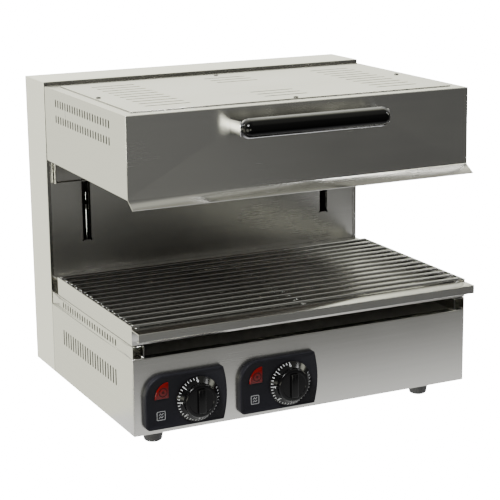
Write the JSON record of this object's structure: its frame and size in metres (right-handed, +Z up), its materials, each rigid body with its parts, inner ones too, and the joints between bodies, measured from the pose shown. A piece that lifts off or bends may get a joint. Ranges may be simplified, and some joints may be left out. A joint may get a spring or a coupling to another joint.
{
  "type": "countertop cheese melter",
  "caption": "Countertop cheese melter with a heated hood that rises and falls on hidden guides over a wire grid and a slide-out drip pan.",
  "frame": {"origin": "middle of the machine's bounding box, at the level of the underside of its feet", "axes": "+X from the machine's left side to its right side as its user sees it, +Y from its front to its back, +Z up"},
  "size_m": [0.6, 0.527, 0.536],
  "materials": {
    "steel": "brushed stainless sheet",
    "steel_inner": "matt stainless sheet",
    "galvanised": "galvanised sheet",
    "bright_wire": "bright drawn wire",
    "chrome": "polished",
    "ground_steel": "ground bar",
    "screw_steel": "bright",
    "reflector_steel": "bright sheet, heat stained",
    "tube_sheath": "oxidised nickel alloy sheath",
    "black_paint": "satin black",
    "bezel_plastic": "fine texture",
    "knob_plastic": "satin",
    "grip_plastic": "gloss",
    "red_lens": "clear red",
    "white_moulding": "phenolic moulding",
    "foot_rubber": "matt",
    "gland_nylon": "matt",
    "bronze": "sintered",
    "blanket_fibre": "mineral fibre",
    "zinc": "zinc plated"
  },
  "bodies": {
    "cabinet": {"column_shell": "steel", "column_front": "steel", "rear_cover": "steel", "rear_screws": "screw_steel", "cable_gland": "gland_nylon", "terminal_block": "white_moulding", "base_shell": "steel", "base_plate": "galvanised", "deck": "steel_inner", "ledge": "steel", "runner_left": "steel", "runner_right": "steel", "feet": "foot_rubber", "foot_bolts": "screw_steel", "bezel_left": "bezel_plastic", "bezel_right": "bezel_plastic", "lens_left": "red_lens", "lens_right": "red_lens", "regulator_left": "white_moulding", "regulator_right": "white_moulding", "lower_crossbar": "zinc", "upper_crossbar": "zinc", "guide_rod_left": "ground_steel", "guide_rod_right": "ground_steel", "rod_collars": "black_paint", "stop_sleeves": "foot_rubber", "strut_cylinder_left": "black_paint", "strut_cylinder_right": "black_paint", "strut_anchors": "zinc", "strut_pins": "screw_steel"},
    "hood": {"hood_shell": "steel", "hood_cover": "steel", "cover_screws": "screw_steel", "hood_back": "steel", "hood_arm_left": "black_paint", "hood_arm_right": "black_paint", "carriage": "zinc", "bushes": "bronze", "strut_rod_left": "ground_steel", "strut_rod_right": "ground_steel", "strut_rings": "black_paint", "strut_nuts": "chrome", "handle_strap": "chrome", "handle_grip": "grip_plastic", "handle_spacers": "black_paint", "handle_screws": "screw_steel", "reflector": "reflector_steel", "blanket": "blanket_fibre", "heater_left": "tube_sheath", "heater_right": "tube_sheath", "heater_bars": "screw_steel"},
    "left_control": {"knob_left": "knob_plastic", "shaft_left": "screw_steel"},
    "right_control": {"knob_right": "knob_plastic", "shaft_right": "screw_steel"},
    "pan": {"drip_pan": "steel", "pan_skirts": "steel"},
    "grid": {"cooking_grid": "bright_wire"}
  },
  "joints": [
    {"name": "hood_lift", "type": "slide", "parent": "cabinet", "child": "hood", "axis": [0, 0, 1], "range_m": [-0.1, 0]},
    {"name": "left_dial", "type": "hinge", "parent": "cabinet", "child": "left_control", "pos_m": [-0.197, -0.2335, 0.082], "axis": [0, 1, 0], "range_deg": [0, 270]},
    {"name": "right_dial", "type": "hinge", "parent": "cabinet", "child": "right_control", "pos_m": [-0.036, -0.2335, 0.082], "axis": [0, 1, 0], "range_deg": [0, 270]},
    {"name": "pan_slide", "type": "slide", "parent": "cabinet", "child": "pan", "axis": [0, -1, 0], "range_m": [0, 0.17]},
    {"name": "grid_lift", "type": "slide", "parent": "pan", "child": "grid", "axis": [0, 0, 1], "range_m": [0, 0.06]}
  ]
}
